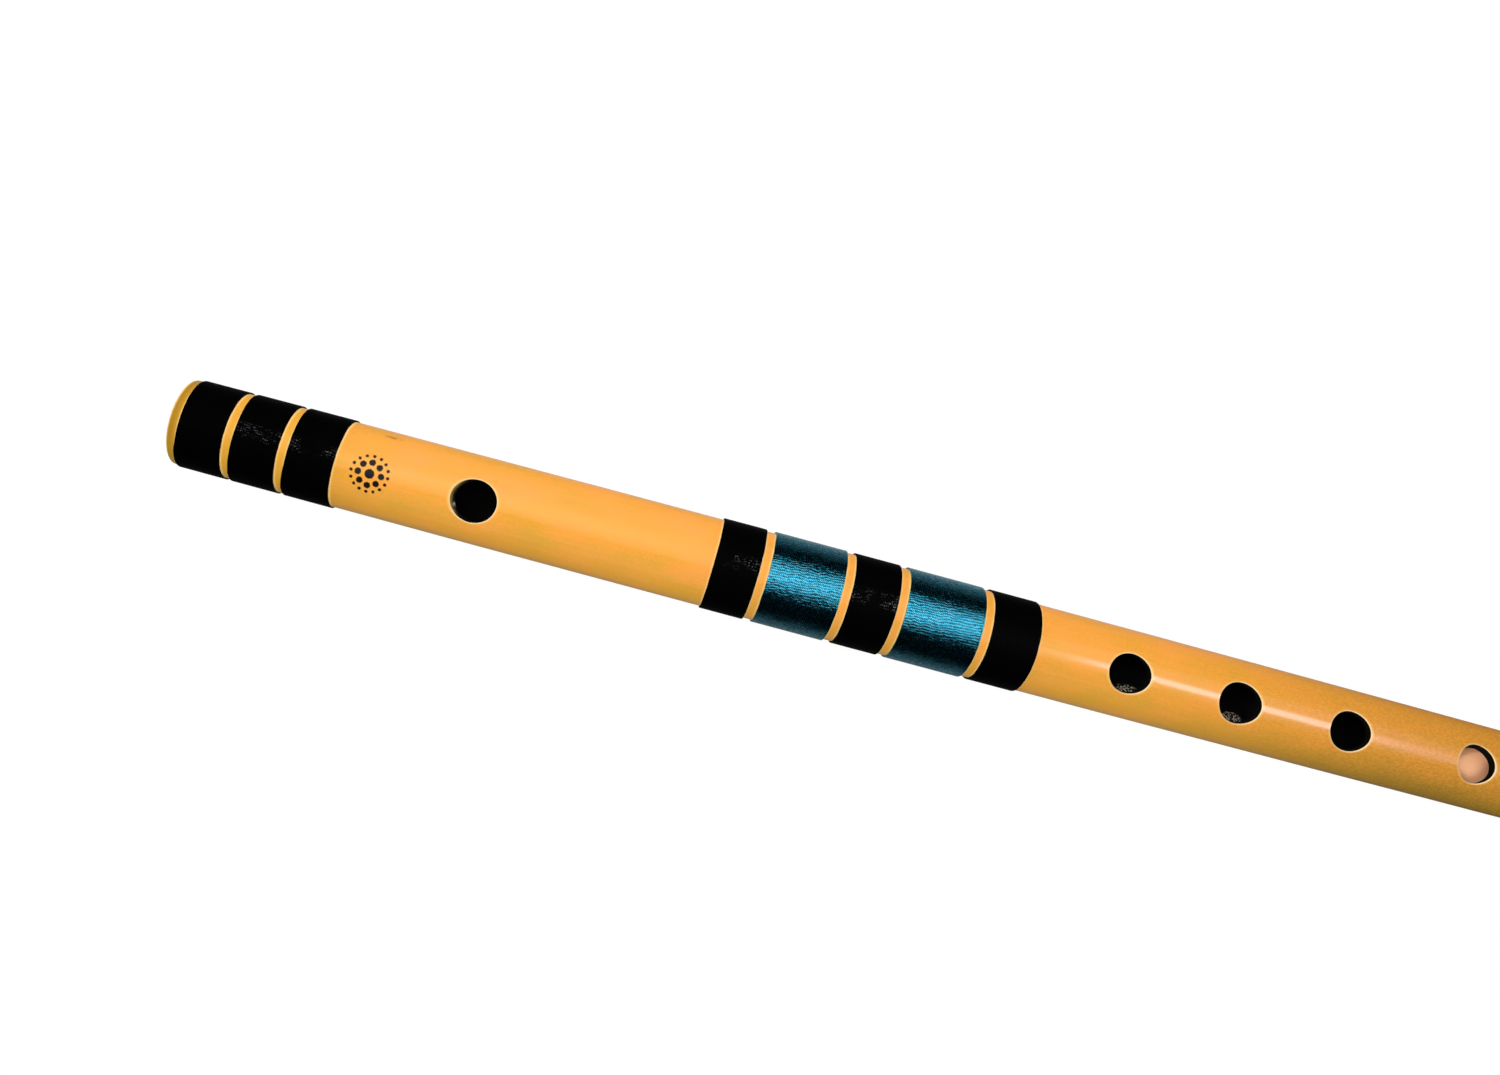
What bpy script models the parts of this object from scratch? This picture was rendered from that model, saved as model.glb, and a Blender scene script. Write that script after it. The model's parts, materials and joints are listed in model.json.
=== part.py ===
"""Bansuri: a side-blown bamboo flute with six finger holes and bindings of wound thread.

The flute lies along X with its head end at -X. Its holes face +Z, and it rests on its bindings
at Z = 0, with the origin under the middle of its length. "From head" is a distance along the
tube, from the cut face of the head end. All sizes are in metres.
"""

import math

import bmesh
import bpy

# Bamboo tube: a natural barrel, thinnest at the head
HEAD_DIAMETER = 0.0208
BELLY_DIAMETER = 0.0227
FOOT_DIAMETER = 0.0213
BELLY_FROM_HEAD = 0.243
HEAD_TAPER_POWER = 2.0
FOOT_TAPER_POWER = 1.5
WALL = 0.0022
END_ROUND = 0.0006

# Thread bindings, in the order in which they lie on the tube
HEAD_RIM = 0.0024
HEAD_WIDTHS = (0.0104, 0.0105, 0.0109)
MIDDLE_WIDTHS = (0.0110, 0.0184, 0.0117, 0.0196, 0.0122)
FOOT_WIDTHS = (0.0109, 0.0105, 0.0104)
FOOT_RIM = 0.0024
HEAD_STRIP = 0.00215
MIDDLE_STRIP = 0.0023
FOOT_STRIP = 0.00215
HEAD_THREAD = 0.00036
MIDDLE_THREAD = 0.0005
FOOT_THREAD = 0.00036
SHOULDER = 0.00025
MOST_SHOULDER = 0.7
TEAL_BINDINGS = (2, 4)

# Layout between the groups of bindings and the holes
BLOW_HOLE_PAST_BINDING = 0.0332
MIDDLE_PAST_BLOW_HOLE = 0.0586
FINGER_HOLE_PAST_BINDING = 0.0243
FINGER_HOLE_SPACINGS = (0.0293, 0.0297, 0.0347, 0.0226, 0.0365)
FOOT_PAST_LAST_HOLE = 0.0413

# Holes burnt by hand with a tapered iron: length along the tube and width across it at the
# outside, and the small turn about the tube's axis by which each one misses the line
BLOW_HOLE_SIZE = (0.0110, 0.0103)
FINGER_HOLE_SIZES = (
    (0.0109, 0.0099),
    (0.0112, 0.0103),
    (0.0109, 0.0100),
    (0.0100, 0.0098),
    (0.0100, 0.0092),
    (0.0104, 0.0096),
)
BLOW_HOLE_CLOCK = math.radians(4.4)
FINGER_HOLE_CLOCKS = tuple(math.radians(turn) for turn in (0.1, 0.2, -1.7, -2.8, -2.5, -2.5))
RIM_ROUND = 0.0004
BURN_TAPER = 0.0005
UNDERCUT = 0.0003

# Cork stopper inside the head, with the travel that tuning needs
CORK_FACE_TO_BLOW_HOLE = 0.0175
CORK_LENGTH = 0.018
CORK_CHAMFER = 0.0006
CORK_TRAVEL = 0.003

# Clearance between pieces that touch, and how finely round shapes are made
FIT_GAP = 0.0003
ROUND_STEPS = 36
HOLE_STEPS = 24
STATION_STEP = 0.02
SHARP_ANGLE = math.radians(35)

# Colours as linear red, green and blue, then roughness
BAMBOO_FINISH = ((0.84, 0.42, 0.085), 0.32)
BLACK_THREAD_FINISH = ((0.006, 0.006, 0.008), 0.45)
TEAL_THREAD_FINISH = ((0.02, 0.28, 0.36), 0.35)
CORK_FINISH = ((0.42, 0.23, 0.11), 0.85)


def laid_out(start, widths, strip):
    """Start and width of each binding in a group, with a strip of bare bamboo between them."""
    places = []
    for width in widths:
        places.append((start, width))
        start += width + strip
    return places


def group_end(places):
    """Where the last binding of a group ends."""
    start, width = places[-1]
    return start + width


HEAD_PLACES = laid_out(HEAD_RIM, HEAD_WIDTHS, HEAD_STRIP)
BLOW_HOLE = group_end(HEAD_PLACES) + BLOW_HOLE_PAST_BINDING
MIDDLE_PLACES = laid_out(BLOW_HOLE + MIDDLE_PAST_BLOW_HOLE, MIDDLE_WIDTHS, MIDDLE_STRIP)
FIRST_FINGER_HOLE = group_end(MIDDLE_PLACES) + FINGER_HOLE_PAST_BINDING
FINGER_HOLES = [
    FIRST_FINGER_HOLE + sum(FINGER_HOLE_SPACINGS[:passed])
    for passed in range(len(FINGER_HOLE_SIZES))
]
FOOT_PLACES = laid_out(FINGER_HOLES[-1] + FOOT_PAST_LAST_HOLE, FOOT_WIDTHS, FOOT_STRIP)
LENGTH = group_end(FOOT_PLACES) + FOOT_RIM

GROUPS = (
    ("head_binding", HEAD_PLACES, HEAD_THREAD),
    ("middle_binding", MIDDLE_PLACES, MIDDLE_THREAD),
    ("foot_binding", FOOT_PLACES, FOOT_THREAD),
)


def barrel_radius(from_head):
    """Outer radius of the bamboo, which narrows from its belly towards both ends."""
    if from_head < BELLY_FROM_HEAD:
        away = (BELLY_FROM_HEAD - from_head) / BELLY_FROM_HEAD
        end_diameter, power = HEAD_DIAMETER, HEAD_TAPER_POWER
    else:
        away = (from_head - BELLY_FROM_HEAD) / (LENGTH - BELLY_FROM_HEAD)
        end_diameter, power = FOOT_DIAMETER, FOOT_TAPER_POWER
    return (BELLY_DIAMETER + (end_diameter - BELLY_DIAMETER) * away**power) / 2


def bore_radius(from_head):
    """Radius of the bore, which keeps one wall's thickness inside the barrel."""
    return barrel_radius(from_head) - WALL


def resting_radius():
    """Distance from the tube's axis down to the flats that the flute rests on."""
    fullest = max(
        barrel_radius(end) + thread
        for _, places, thread in GROUPS
        for start, width in places
        for end in (start, start + width)
    )
    return fullest * math.cos(math.pi / ROUND_STEPS)


AXIS_HEIGHT = resting_radius()


def new_object(name, bm, finish, from_head=0.0):
    """A smooth-shaded object on the tube's axis, with its own material. Its origin lies at a
    distance from the head end."""
    mesh = bpy.data.meshes.new(name)
    bmesh.ops.recalc_face_normals(bm, faces=bm.faces)
    bm.to_mesh(mesh)
    bm.free()
    mesh.shade_smooth()
    mesh.set_sharp_from_angle(angle=SHARP_ANGLE)
    mesh.materials.append(new_material(name, finish))
    obj = bpy.data.objects.new(name, mesh)
    obj.location = (from_head - LENGTH / 2, 0, AXIS_HEIGHT)
    bpy.context.scene.collection.objects.link(obj)
    return obj


def new_material(name, finish):
    """A Principled material of one colour and roughness."""
    (red, green, blue), roughness = finish
    material = bpy.data.materials.new(name)
    material.use_nodes = True
    shader = material.node_tree.nodes["Principled BSDF"]
    shader.inputs["Base Color"].default_value = (red, green, blue, 1.0)
    shader.inputs["Roughness"].default_value = roughness
    shader.inputs["Metallic"].default_value = 0.0
    material.diffuse_color = (red, green, blue, 1.0)
    return material


def spun(outline, closed):
    """An outline of (along, radius) points, spun about the X axis with flats at its top and
    bottom. A closed outline makes a sleeve; an open one makes a plug, whose ends are capped."""
    bm = bmesh.new()
    half_step = math.pi / ROUND_STEPS
    corners = [
        bm.verts.new((along, radius * math.sin(half_step), radius * math.cos(half_step)))
        for along, radius in outline
    ]
    followers = corners[1:] + corners[:1] if closed else corners[1:]
    for corner, follower in zip(corners, followers):
        bm.edges.new((corner, follower))
    bmesh.ops.spin(
        bm,
        geom=bm.verts[:] + bm.edges[:],
        cent=(0, 0, 0),
        axis=(1, 0, 0),
        angle=2 * math.pi,
        steps=ROUND_STEPS,
        use_merge=True,
    )
    if not closed:
        bmesh.ops.holes_fill(bm, edges=bm.edges)
    return bm


def barrel_run(start, end):
    """Points along the bare barrel, close enough together to keep its curve."""
    steps = max(1, math.ceil((end - start) / STATION_STEP))
    stations = [start + (end - start) * step / steps for step in range(steps + 1)]
    return [(station, barrel_radius(station)) for station in stations]


def binding_seat(start, width):
    """The shallow seat under a binding, where the skin is scraped off so that thread grips."""
    first, last = start - FIT_GAP, start + width + FIT_GAP
    return [
        (first, barrel_radius(first) - FIT_GAP),
        (last, barrel_radius(last) - FIT_GAP),
    ]


def tube_outline():
    """The tube's wall: rounded rims, barrel and seats outside, and the bore inside."""
    slope = END_ROUND * (1 - math.sqrt(0.5))
    outside = [
        (0, barrel_radius(0) - END_ROUND),
        (slope, barrel_radius(slope) - slope),
    ]
    bare_from = END_ROUND
    for _, places, _ in GROUPS:
        for start, width in places:
            outside += barrel_run(bare_from, start - FIT_GAP)
            outside += binding_seat(start, width)
            bare_from = start + width + FIT_GAP
    outside += barrel_run(bare_from, LENGTH - END_ROUND)
    outside += [
        (LENGTH - slope, barrel_radius(LENGTH - slope) - slope),
        (LENGTH, barrel_radius(LENGTH) - END_ROUND),
    ]
    inside = [(station, bore_radius(station)) for station, _ in barrel_run(0, LENGTH)]
    return outside + inside[::-1]


def hole_levels():
    """Rings of a hole's cutter from the bore up: the face that each ring follows, its height
    above that face, and how far it stands out from the hole's outline."""
    knee = RIM_ROUND * (1 - math.sqrt(0.5))
    flared = 2 * UNDERCUT - BURN_TAPER
    above = 2 * knee + RIM_ROUND
    return (
        (bore_radius, -2 * UNDERCUT, flared),
        (bore_radius, -UNDERCUT, flared),
        (bore_radius, UNDERCUT, -BURN_TAPER),
        (barrel_radius, -RIM_ROUND, 0.0),
        (barrel_radius, -knee, knee),
        (barrel_radius, RIM_ROUND, above),
        (barrel_radius, RIM_ROUND + WALL, above),
    )


def hole_cutter(name, centre, size, clock):
    """The shape that burning leaves: an oval post that narrows towards the bore, with a rolled
    rim that follows the barrel and an undercut edge that follows the bore."""
    length, width = size
    levels = hole_levels()
    bm = bmesh.new()
    bmesh.ops.create_cone(
        bm,
        cap_ends=True,
        segments=HOLE_STEPS,
        radius1=1.0,
        radius2=1.0,
        depth=len(levels) - 1,
    )
    cap_edges = {edge for face in bm.faces if len(face.edges) == HOLE_STEPS for edge in face.edges}
    uprights = [edge for edge in bm.edges if edge not in cap_edges]
    bmesh.ops.subdivide_edges(bm, edges=uprights, cuts=len(levels) - 2)
    lowest = min(vertex.co.z for vertex in bm.verts)
    for vertex in bm.verts:
        face_radius, height, outward = levels[round(vertex.co.z - lowest)]
        along = centre + vertex.co.x * (length / 2 + outward)
        across = vertex.co.y * (width / 2 + outward)
        on_face = math.sqrt(face_radius(along) ** 2 - across**2)
        vertex.co = (along, across, on_face + height)
    cutter = new_object(name, bm, BAMBOO_FINISH)
    cutter.rotation_euler = (clock, 0, 0)
    cutter.hide_render = True
    cutter.display_type = "WIRE"
    return cutter


def bamboo_tube():
    """The tube with its bore, blow hole and finger holes."""
    tube = new_object("bamboo_tube", spun(tube_outline(), closed=True), BAMBOO_FINISH)
    holes = [("blow_hole", BLOW_HOLE, BLOW_HOLE_SIZE, BLOW_HOLE_CLOCK)]
    fingers = zip(FINGER_HOLES, FINGER_HOLE_SIZES, FINGER_HOLE_CLOCKS)
    for number, (centre, size, clock) in enumerate(fingers, start=1):
        holes.append((f"finger_hole_{number}", centre, size, clock))
    for name, centre, size, clock in holes:
        cut = tube.modifiers.new(name, "BOOLEAN")
        cut.operation = "DIFFERENCE"
        cut.solver = "EXACT"
        cut.object = hole_cutter(f"{name}_cutter", centre, size, clock)


def binding(name, start, width, thread, finish):
    """A sleeve of tightly wound thread in its seat, with sloping shoulders at both ends."""
    end = start + width
    slope = min(SHOULDER, thread * MOST_SHOULDER)
    outline = [
        (start, barrel_radius(start)),
        (start, barrel_radius(start) + thread - slope),
        (start + slope, barrel_radius(start + slope) + thread),
        (end - slope, barrel_radius(end - slope) + thread),
        (end, barrel_radius(end) + thread - slope),
        (end, barrel_radius(end)),
    ]
    new_object(name, spun(outline, closed=True), finish)


def bindings():
    """Every binding of the three groups; some of the middle ones are teal."""
    for group, places, thread in GROUPS:
        for number, (start, width) in enumerate(places, start=1):
            teal = group == "middle_binding" and number in TEAL_BINDINGS
            finish = TEAL_THREAD_FINISH if teal else BLACK_THREAD_FINISH
            binding(f"{group}_{number}", start, width, thread, finish)


def cork_radius(from_head):
    """Radius at which the cork clears the bore wherever its travel takes it."""
    reached = (from_head - CORK_TRAVEL, from_head, from_head + CORK_TRAVEL)
    return min(bore_radius(place) for place in reached) - FIT_GAP


def cork_stopper():
    """The cork that closes the bore beside the blow hole. It tapers with the bore, and its
    origin is on the tube's axis at the face that the air meets."""
    face = BLOW_HOLE - CORK_FACE_TO_BLOW_HOLE
    back = face - CORK_LENGTH
    outline = [
        (-CORK_LENGTH, cork_radius(back) - CORK_CHAMFER),
        (CORK_CHAMFER - CORK_LENGTH, cork_radius(back + CORK_CHAMFER)),
        (-CORK_CHAMFER, cork_radius(face - CORK_CHAMFER)),
        (0, cork_radius(face) - CORK_CHAMFER),
    ]
    new_object("cork_stopper", spun(outline, closed=False), CORK_FINISH, from_head=face)


def clear_scene():
    """Start from a scene with no objects."""
    for obj in list(bpy.data.objects):
        bpy.data.objects.remove(obj, do_unlink=True)


clear_scene()
bamboo_tube()
bindings()
cork_stopper()
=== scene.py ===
# %% [markdown]
# # Dressing a bansuri
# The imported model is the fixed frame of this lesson: it says where every piece is and what moves.
# The cells below give each piece its real surface, and none of them moves a piece.

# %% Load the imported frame
import json
import math

import bmesh
import bpy
from mathutils import Matrix, Vector, noise


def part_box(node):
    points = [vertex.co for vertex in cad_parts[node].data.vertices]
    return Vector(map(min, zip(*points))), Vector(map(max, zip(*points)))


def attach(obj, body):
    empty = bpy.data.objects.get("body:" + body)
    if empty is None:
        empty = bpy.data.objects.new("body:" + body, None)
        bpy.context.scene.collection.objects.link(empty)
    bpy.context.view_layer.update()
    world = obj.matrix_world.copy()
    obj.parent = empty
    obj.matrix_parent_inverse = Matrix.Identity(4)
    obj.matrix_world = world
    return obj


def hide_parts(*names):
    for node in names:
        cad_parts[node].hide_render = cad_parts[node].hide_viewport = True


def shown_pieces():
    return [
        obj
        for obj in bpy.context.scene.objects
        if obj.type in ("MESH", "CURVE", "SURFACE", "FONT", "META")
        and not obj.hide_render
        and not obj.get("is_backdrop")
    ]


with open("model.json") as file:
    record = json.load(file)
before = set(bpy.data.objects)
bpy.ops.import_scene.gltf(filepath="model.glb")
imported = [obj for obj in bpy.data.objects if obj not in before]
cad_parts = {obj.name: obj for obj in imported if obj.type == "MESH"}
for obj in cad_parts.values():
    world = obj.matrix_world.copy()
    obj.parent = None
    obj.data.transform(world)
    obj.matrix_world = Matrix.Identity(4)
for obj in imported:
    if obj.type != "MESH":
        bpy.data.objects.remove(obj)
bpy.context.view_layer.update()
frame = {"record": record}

# %% [markdown]
# ## The flute's own sizes
# Lengths along the flute are counted from its head end. The frame gives the ends of the tube and
# of every binding. The barrel's swelling is a curve, so its few driving sizes are named here.

# %% Sizes along the tube and across it
MM = 0.001
tube_low, tube_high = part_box("bamboo_tube")
HEAD_X = tube_low.x
LENGTH = tube_high.x - tube_low.x
AXIS_Z = (tube_low.z + tube_high.z) / 2

HEAD_DIAMETER = 20.8 * MM
BELLY_DIAMETER = 22.7 * MM
FOOT_DIAMETER = 21.3 * MM
BELLY_FROM_HEAD = 243 * MM
HEAD_TAPER_POWER = 2.0
FOOT_TAPER_POWER = 1.5
WALL = 2.2 * MM

slot_of_node = {part["node"]: part["material_slot"] for part in frame["record"]["subparts"]}
binding_ends = {}
for node, slot in sorted(slot_of_node.items()):
    if slot in ("black_thread", "teal_thread"):
        low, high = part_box(node)
        binding_ends[node] = (low.x - HEAD_X, high.x - HEAD_X)


def barrel_radius(from_head):
    """Outer radius of the bamboo, which narrows from its belly towards both ends."""
    if from_head < BELLY_FROM_HEAD:
        away = (BELLY_FROM_HEAD - from_head) / BELLY_FROM_HEAD
        end_diameter, power = HEAD_DIAMETER, HEAD_TAPER_POWER
    else:
        away = (from_head - BELLY_FROM_HEAD) / (LENGTH - BELLY_FROM_HEAD)
        end_diameter, power = FOOT_DIAMETER, FOOT_TAPER_POWER
    return (BELLY_DIAMETER + (end_diameter - BELLY_DIAMETER) * min(1, max(0, away)) ** power) / 2


def bore_radius(from_head):
    """Radius of the bore, which keeps one wall's thickness inside the barrel."""
    return barrel_radius(from_head) - WALL


print(f"tube {LENGTH / MM:.1f} mm long, its axis {AXIS_Z / MM:.2f} mm above the floor")

# %% [markdown]
# ## The camera
# The camera hung nearly over the flute, a few centimetres past the blow hole, and was turned a
# little, so the flute runs downhill to the right and leaves the frame. The place was found from
# how the bindings and holes crowd together with distance.

# %% The camera over the flute
CAMERA_FROM_HEAD = 115.48 * MM
CAMERA_ASIDE = -7.42 * MM
CAMERA_ABOVE_AXIS = 283.4 * MM
CAMERA_TURN = (1.9452, -5.2077, 14.9293)
CAMERA_LENS = 27.35

camera_data = bpy.data.cameras.new("camera")
camera_data.lens = CAMERA_LENS
camera_data.clip_start = 0.01
camera = bpy.data.objects.new("camera", camera_data)
camera.location = (HEAD_X + CAMERA_FROM_HEAD, CAMERA_ASIDE, AXIS_Z + CAMERA_ABOVE_AXIS)
camera.rotation_euler = [math.radians(turn) for turn in CAMERA_TURN]
bpy.context.scene.collection.objects.link(camera)
bpy.context.scene.camera = camera
bpy.context.scene.view_settings.view_transform = "Standard"
print("camera", round(CAMERA_ABOVE_AXIS, 3), "m over the axis")

# %% [markdown]
# ## Writing materials as sums
# A surface is a small calculation made at every point. One class wraps a socket of a material, so
# that the calculation can be written with + and * as in any Python line, and each step becomes a
# Math node. Wiring each Math node by hand would hide the sum among its links.


# %% Socket arithmetic
class Value:
    """One output of a material's nodes. Sums and products of it add Math nodes."""

    def __init__(self, finish, socket):
        self.finish = finish
        self.socket = socket

    def math(self, operation, *operands):
        """A Math node on these operands, of which this value is usually the first."""
        return self.finish.node("Math", {"operation": operation}, dict(enumerate(operands)))

    def __add__(self, other):
        return self.math("ADD", self, other)

    __radd__ = __add__

    def __sub__(self, other):
        return self.math("SUBTRACT", self, other)

    def __rsub__(self, other):
        return self.math("SUBTRACT", other, self)

    def __mul__(self, other):
        return self.math("MULTIPLY", self, other)

    __rmul__ = __mul__

    def __truediv__(self, other):
        return self.math("DIVIDE", self, other)

    def sine(self):
        return self.math("SINE", self)

    def root(self):
        return self.math("SQRT", self)

    def size(self):
        return self.math("ABSOLUTE", self)

    def at_most(self, other):
        return self.math("MINIMUM", self, other)


print("materials can be written as sums")

# %% [markdown]
# ## One way to add a node
# Every kind of node is made by the same steps: add it, set its options, fill its sockets. One
# method does that for all of them. Two more give names to the steps that come back in every
# finish, a soft mask and a mix of two colours.


# %% Adding nodes
class Nodes:
    """A tree of shader nodes, to which every kind of node is added in the same way."""

    def __init__(self, tree):
        self.tree = tree

    def node(self, kind, settings, values, output=0):
        """Adds a node of this kind, applies its settings, then fills its sockets with numbers,
        colours or other nodes' outputs. A ramp's stops are one of its settings."""
        made = self.tree.nodes.new("ShaderNode" + kind)
        for name, setting in settings.items():
            if name == "stops":
                self.fill_ramp(made.color_ramp, setting)
            else:
                setattr(made, name, setting)
        self.fill(made, values)
        return Value(self, made.outputs[output])

    def fill(self, made, values):
        """Gives a node's sockets their values; colours are three numbers."""
        for name, value in values.items():
            socket = made.inputs[name]
            if isinstance(value, Value):
                self.tree.links.new(value.socket, socket)
            elif socket.type == "RGBA":
                socket.default_value = (*value, 1.0)
            else:
                socket.default_value = value

    @staticmethod
    def fill_ramp(ramp, stops):
        """Gives a colour ramp its stops, each a position and a colour."""
        while len(ramp.elements) < len(stops):
            ramp.elements.new(1.0)
        for element, (position, colour) in zip(ramp.elements, stops):
            element.position = position
            element.color = (*colour, 1.0)

    def step(self, value, low, high):
        """0 below low, 1 above high, and a smooth rise between them."""
        values = {"Value": value, "From Min": low, "From Max": high}
        return self.node("MapRange", {"interpolation_type": "SMOOTHSTEP"}, values)

    def mix(self, factor, first, second):
        """The first colour where the factor is 0 and the second where it is 1. The node's
        sockets go by number, because its other kinds have sockets of the same names."""
        return self.node("Mix", {"data_type": "RGBA"}, {0: factor, 6: first, 7: second}, output=2)


print("one method adds every kind of node")

# %% [markdown]
# ## A finish that knows the flute
# The flute is long and round, so a place on it is best told as a distance from the head, a
# distance from the axis and an angle about it. Each finish works these out once, from Object
# coordinates, which stay with a piece when it moves.


# %% A finish of the flute
class Finish(Nodes):
    """A material of the flute, with the tube's own coordinates ready to use."""

    def __init__(self, name):
        self.material = bpy.data.materials.new(name)
        self.material.use_nodes = True
        super().__init__(self.material.node_tree)
        self.shader = self.tree.nodes["Principled BSDF"]
        here = self.node("TexCoord", {}, {}, output="Object")
        to_head = {"Vector": here, "Location": (-HEAD_X, 0, -AXIS_Z)}
        self.place = self.node("Mapping", {}, to_head)
        self.from_head = self.node("SeparateXYZ", {}, {0: self.place}, output="X")
        self.aside = self.node("SeparateXYZ", {}, {0: self.place}, output="Y")
        self.above = self.node("SeparateXYZ", {}, {0: self.place}, output="Z")
        self.angle = self.aside.math("ARCTAN2", self.aside, self.above)
        self.radius = (self.aside * self.aside + self.above * self.above).root()

    def noise(self, across, along, detail=2.0, seed=0.0):
        """Soft noise from 0 to 1 with spots of about these sizes across and along the tube."""
        scale = (1 / along, 1 / across, 1 / across)
        moved = {"Vector": self.place, "Location": (seed, seed, seed), "Scale": scale}
        spot = self.node("Mapping", {}, moved)
        return self.node("TexNoise", {}, {"Vector": spot, "Scale": 1.0, "Detail": detail})

    def bump(self, height, strength, distance):
        """A surface normal tilted by the slope of a height, over a distance in metres."""
        values = {"Height": height, "Strength": strength, "Distance": distance}
        return self.node("Bump", {}, values)

    def wear(self, **sockets):
        """Sets the shader's sockets by their names, written with underscores for spaces."""
        self.fill(self.shader, {name.replace("_", " "): value for name, value in sockets.items()})
        return self.material


print(f"a finish counts from the head end, at {HEAD_X / MM:.1f} mm along the frame")

# %% [markdown]
# ## The holes
# Each hole is burnt through the wall with a hot tapered iron, then its rim is scraped clean. So
# there are three things to see: a thin pale rim, a black wall that narrows downwards, and the
# bore. Distances are from the head end. The last three holes follow the same ladder of notes.

# %% Places and sizes of the holes
BLOW_HOLE = 71.7 * MM
BLOW_HOLE_SIZE = (11.0 * MM, 10.3 * MM)
BLOW_HOLE_CLOCK = math.radians(4.4)
FINGER_HOLES = [place * MM for place in (236.7, 266.0, 295.7, 330.4, 353.0, 389.5)]
FINGER_HOLE_SIZES = [
    (length * MM, width * MM)
    for length, width in ((10.9, 9.9), (11.2, 10.3), (10.9, 10.0), (10.0, 9.8), (10.0, 9.2), (10.4, 9.6))
]
FINGER_HOLE_CLOCKS = [math.radians(turn) for turn in (0.1, 0.2, -1.7, -2.8, -2.5, -2.5)]
HOLES = [(BLOW_HOLE, BLOW_HOLE_SIZE, BLOW_HOLE_CLOCK)]
HOLES += list(zip(FINGER_HOLES, FINGER_HOLE_SIZES, FINGER_HOLE_CLOCKS))
RIM_ROUND = 0.3 * MM
BURN_TAPER = 0.3 * MM
UNDERCUT = 0.3 * MM
SLANTS = {BLOW_HOLE: (0.6 * MM, 0), FINGER_HOLES[3]: (0, -0.7 * MM)}
print("holes at", [round(place / MM, 1) for place, _, _ in HOLES], "mm from the head")

# %% [markdown]
# ## The bamboo's lacquered skin
# The skin is golden with fine fibres that run along the tube and cloudy patches. Its colour also
# holds painted light and shade: lighter near the head, darker at the very end and towards the foot,
# and darker and olive on the near flank. A clear lacquer lies over it. A photograph of bamboo would
# need an image file, so the fibres are noise stretched along the tube instead. First comes a printed
# rosette of dots. Each dot is a distance to a point, so it stays sharp however close the camera
# comes.

# %% A dotted ornament in black ink
ORNAMENT_FROM_HEAD = 47.0 * MM
ORNAMENT_ANGLE = math.radians(-5)
ORNAMENT_RINGS = ((8, 2.75 * MM, 0.78 * MM), (16, 4.35 * MM, 0.40 * MM))
ORNAMENT_CENTRE = 1.15 * MM
INK_EDGE = 0.12 * MM


def dotted_ornament(finish):
    """A mask that is 1 on a printed rosette: a centre dot inside two rings of dots."""
    along = finish.from_head - ORNAMENT_FROM_HEAD
    across = (finish.angle - ORNAMENT_ANGLE) * barrel_radius(ORNAMENT_FROM_HEAD)
    out = (along * along + across * across).root()
    turn = along.math("ARCTAN2", across, along)
    nearest = out - ORNAMENT_CENTRE
    for dots, ring, dot in ORNAMENT_RINGS:
        share = 2 * math.pi / dots
        off = turn.math("WRAP", turn, share / 2, -share / 2)
        across_dot = out * off.sine()
        along_dot = out * off.math("COSINE", off) - ring
        nearest = nearest.at_most((across_dot * across_dot + along_dot * along_dot).root() - dot)
    ragged = nearest + (finish.noise(0.35 * MM, 0.35 * MM) - 0.5) * (0.35 * MM)
    return finish.step(ragged, INK_EDGE, -INK_EDGE)


print("ornament", 2 * (ORNAMENT_RINGS[-1][1] + ORNAMENT_RINGS[-1][2]) / MM, "mm across")

# %% [markdown]
# ## Where the skin turns pale
# Brushed lacquer gathers in a thin bright lip against every binding, and scraping a hole's rim
# leaves a pale ring round it. Painted by hand they would have to be moved with every hole. Here
# both are distances to pieces that already have a place.

# %% Lips of lacquer and scraped rings
LACQUER_LIP = 0.55 * MM
LIP_LEAN = 0.18 * MM
LIP_CLEAR = 0.1 * MM
RING_WIDTH = 0.8 * MM
RING_CLEAR = 0.3 * MM


def lacquer_lip(skin):
    """A mask that is 1 beside a binding, where the brushed lacquer gathered against it."""
    along = skin.from_head - skin.aside / skin.radius * LIP_LEAN
    nearest = along.size()
    for ends in binding_ends.values():
        for end in ends:
            nearest = nearest.at_most((along - end).size())
    return skin.step(nearest, LACQUER_LIP, LIP_CLEAR)


def rim_halo(skin):
    """A mask that is 1 round the holes, where scraping thinned the skin."""
    nearest = skin.radius
    for place, (length, width), clock in HOLES:
        along = (skin.from_head - place) * (width / length)
        across = (skin.angle + clock) * barrel_radius(place)
        nearest = nearest.at_most((along * along + across * across).root() - width / 2)
    return skin.step(nearest, RING_WIDTH, RING_CLEAR)


print("lips at", 2 * len(binding_ends), "edges of bindings, rings round", len(HOLES), "holes")

# %% Colours of the skin, its stain, and its painted light and shade
GOLDEN = (0.92, 0.388, 0.054)
GREENISH_GOLD = (0.79, 0.385, 0.042)
ROSY_GOLD = (1.00, 0.390, 0.080)
# Painted light and shade: the head's yellower, lighter gold, the darker end and foot, and the olive and
# dark colours of the shaded near flank, the last also used for dark mottle.
PAINTED_LIGHT_HEAD_GOLD = (0.86, 0.415, 0.045)
END_SHADE_GOLD = (0.40, 0.215, 0.018)
FOOT_SHADE_GOLD = (0.80, 0.345, 0.046)
OLIVE_FLANK_SHADE = (0.60, 0.400, 0.050)
DARK_MOTTLE_AND_SHADE = (0.14, 0.095, 0.020)
POOLED = (1.00, 0.700, 0.280)
STAIN = (0.40, 0.21, 0.04)
FLECK = (0.30, 0.150, 0.035)
INK = (0.008, 0.007, 0.006)
PAINTED_LIGHT_HEAD_FADE = (42 * MM, 26 * MM)
END_SHADE_FADE = (4 * MM, 0.5 * MM)
FOOT_SHADE_FADE = (235 * MM, 330 * MM)
STAIN_PLACE = (49 * MM, math.radians(57))
STAIN_SIZE = (3.0 * MM, math.radians(5))


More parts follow.
